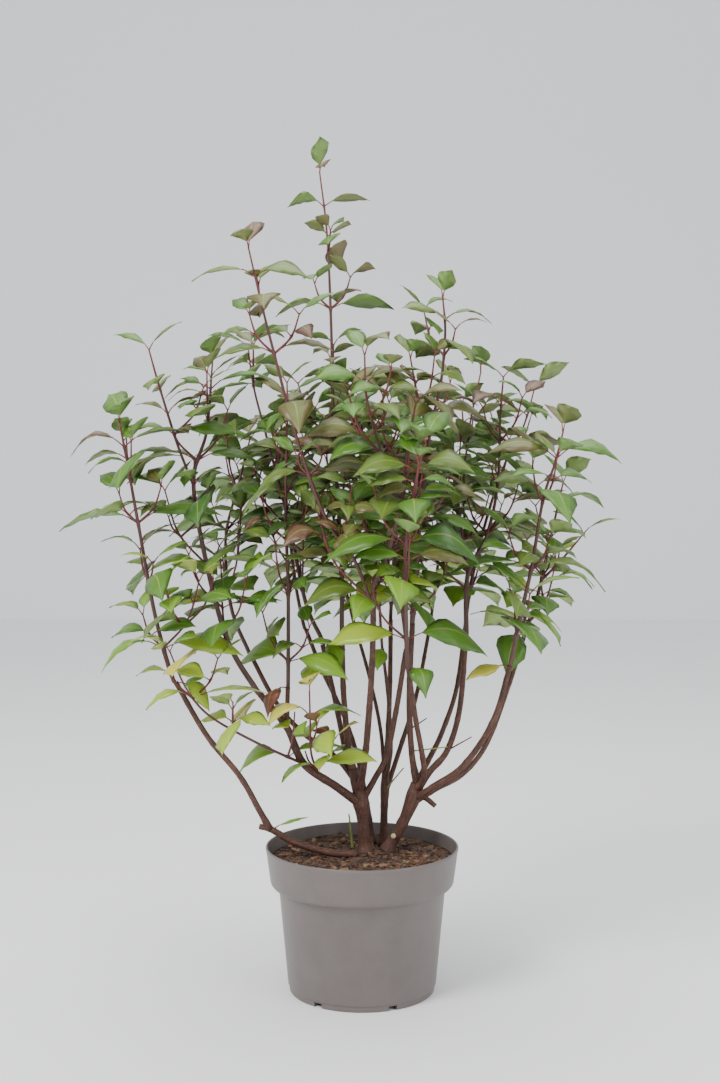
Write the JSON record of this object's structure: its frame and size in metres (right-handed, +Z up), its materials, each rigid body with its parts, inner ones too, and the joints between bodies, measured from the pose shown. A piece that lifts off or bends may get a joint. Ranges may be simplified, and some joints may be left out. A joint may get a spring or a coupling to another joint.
{
  "type": "potted bodnant viburnum shrub",
  "caption": "Tall deciduous shrub with several woody stems, arching boughs and leafy sprays, in a round plastic nursery pot filled with bark compost.",
  "frame": {"origin": "centre of the flat underside of the pot", "axes": "+Z up along the pot's axis and the plant's height, -Y towards the viewer of the picture, +X to that viewer's right"},
  "size_m": [0.8259, 0.6587, 1.2544],
  "materials": {
    "pot": "satin moulded taupe",
    "soil": "loose bark and fibre compost",
    "bark": "rough brown bark",
    "shoot": "smooth green young stem",
    "foliage_top": "bronze young leaves on red twigs",
    "foliage_upper": "olive green leaves on red twigs",
    "foliage_middle": "mid green leaves on red twigs",
    "foliage_low": "yellow green leaves on red twigs"
  },
  "bodies": {
    "root": {"pot": "pot", "soil": "soil", "young_shoot": "shoot", "trunk_left": "bark", "trunk_middle": "bark", "trunk_right": "bark", "trunk_behind": "bark", "lying_stem": "bark", "bough_far_left": "bark", "bough_low_left": "bark", "bough_left_upright": "bark", "bough_tall": "bark", "bough_left_behind": "bark", "bough_left_middle": "bark", "bough_front_centre": "bark", "bough_centre": "bark", "bough_back_centre": "bark", "bough_slender": "bark", "bough_back_thin": "bark", "bough_back_left": "bark", "bough_right_upright": "bark", "bough_front": "bark", "bough_right_middle": "bark", "bough_right_behind": "bark", "bough_far_right_low": "bark", "bough_far_right": "bark", "bough_back_right": "bark", "foliage_top": "foliage_top", "foliage_upper_left": "foliage_top", "foliage_right_upright": "foliage_top", "foliage_far_left": "foliage_upper", "foliage_left": "foliage_upper", "foliage_left_middle": "foliage_upper", "foliage_front_centre": "foliage_upper", "foliage_right_middle": "foliage_upper", "foliage_right_behind": "foliage_upper", "foliage_far_right_low": "foliage_upper", "foliage_left_upright": "foliage_middle", "foliage_left_behind": "foliage_middle", "foliage_back_left": "foliage_middle", "foliage_back_thin": "foliage_middle", "foliage_centre": "foliage_middle", "foliage_back_centre": "foliage_middle", "foliage_slender": "foliage_middle", "foliage_front": "foliage_middle", "foliage_far_right": "foliage_middle", "foliage_back_right": "foliage_middle", "foliage_low_left": "foliage_low", "foliage_low_centre": "foliage_low"}
  },
  "joints": []
}
